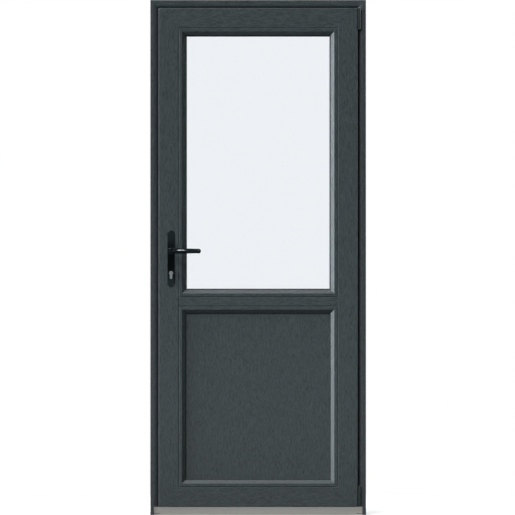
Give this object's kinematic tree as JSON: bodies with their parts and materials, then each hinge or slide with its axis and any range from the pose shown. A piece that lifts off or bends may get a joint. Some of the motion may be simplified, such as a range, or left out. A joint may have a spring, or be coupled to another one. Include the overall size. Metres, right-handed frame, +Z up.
{
  "type": "entrance door",
  "caption": "Half-glazed entrance door with a closed lower panel, hung on barrel hinges in its own frame over a metal threshold, with a lever handle on a long plate.",
  "frame": {"origin": "middle of the threshold's underside, halfway through the depth of the threshold", "axes": "+X to the right as seen from the room, towards the hinges; +Y outwards through the door; +Z up"},
  "size_m": [0.9, 0.1846, 2.15],
  "materials": {
    "frame_foil": "PVC profile with anthracite wood-grain foil",
    "leaf_foil": "PVC profile with anthracite wood-grain foil",
    "bead_foil": "PVC bead with anthracite wood-grain foil",
    "panel_foil": "insulated panel faced with anthracite wood-grain foil",
    "threshold_metal": "satin anodised extrusion",
    "thermal_break": "black polyamide bar",
    "seal": "black extruded rubber",
    "glass": "clear float glass",
    "spacer": "black warm-edge spacer",
    "lock_steel": "brushed zinc-plated steel",
    "cylinder_nickel": "satin nickel-plated brass",
    "handle_black": "glossy black lacquer on cast metal",
    "hinge_grey": "anthracite lacquer"
  },
  "bodies": {
    "frame": {"lock_jamb": "frame_foil", "hinge_jamb": "frame_foil", "frame_head": "frame_foil", "threshold_inner": "threshold_metal", "threshold_break": "thermal_break", "threshold_outer": "threshold_metal", "frame_seal": "seal", "latch_keep": "lock_steel", "hook_keeps": "lock_steel", "top_hinge_frame_half": "hinge_grey", "bottom_hinge_frame_half": "hinge_grey"},
    "leaf": {"lock_stile": "leaf_foil", "hinge_stile": "leaf_foil", "top_rail": "leaf_foil", "mid_rail": "leaf_foil", "bottom_rail": "leaf_foil", "glass_bead_left": "bead_foil", "glass_bead_right": "bead_foil", "glass_bead_top": "bead_foil", "glass_bead_bottom": "bead_foil", "panel_bead_left": "bead_foil", "panel_bead_right": "bead_foil", "panel_bead_top": "bead_foil", "panel_bead_bottom": "bead_foil", "glass_front_pane": "glass", "glass_back_pane": "glass", "glass_spacer": "spacer", "infill_panel": "panel_foil", "glass_gaskets": "seal", "panel_gaskets": "seal", "leaf_seal": "seal", "bottom_seal": "seal", "weather_bar": "leaf_foil", "lock_faceplate": "lock_steel", "lock_bolts": "lock_steel", "lock_cylinder": "cylinder_nickel", "front_handle_plate": "handle_black", "back_handle_plate": "handle_black", "top_hinge_leaf_half": "hinge_grey", "bottom_hinge_leaf_half": "hinge_grey"},
    "lever": {"front_lever": "handle_black", "back_lever": "handle_black", "spindle": "lock_steel"}
  },
  "joints": [
    {"name": "leaf_swing", "type": "hinge", "parent": "frame", "child": "leaf", "pos_m": [0.422, -0.0475, 1.075], "axis": [0, 0, 1], "range_deg": [0, 110]},
    {"name": "lever_turn", "type": "hinge", "parent": "leaf", "child": "lever", "pos_m": [-0.363, -0.02, 1.102], "axis": [0, 1, 0], "range_deg": [-45, 40], "stiffness_Nm_per_rad": 2.5, "springref_deg": -2.75}
  ]
}
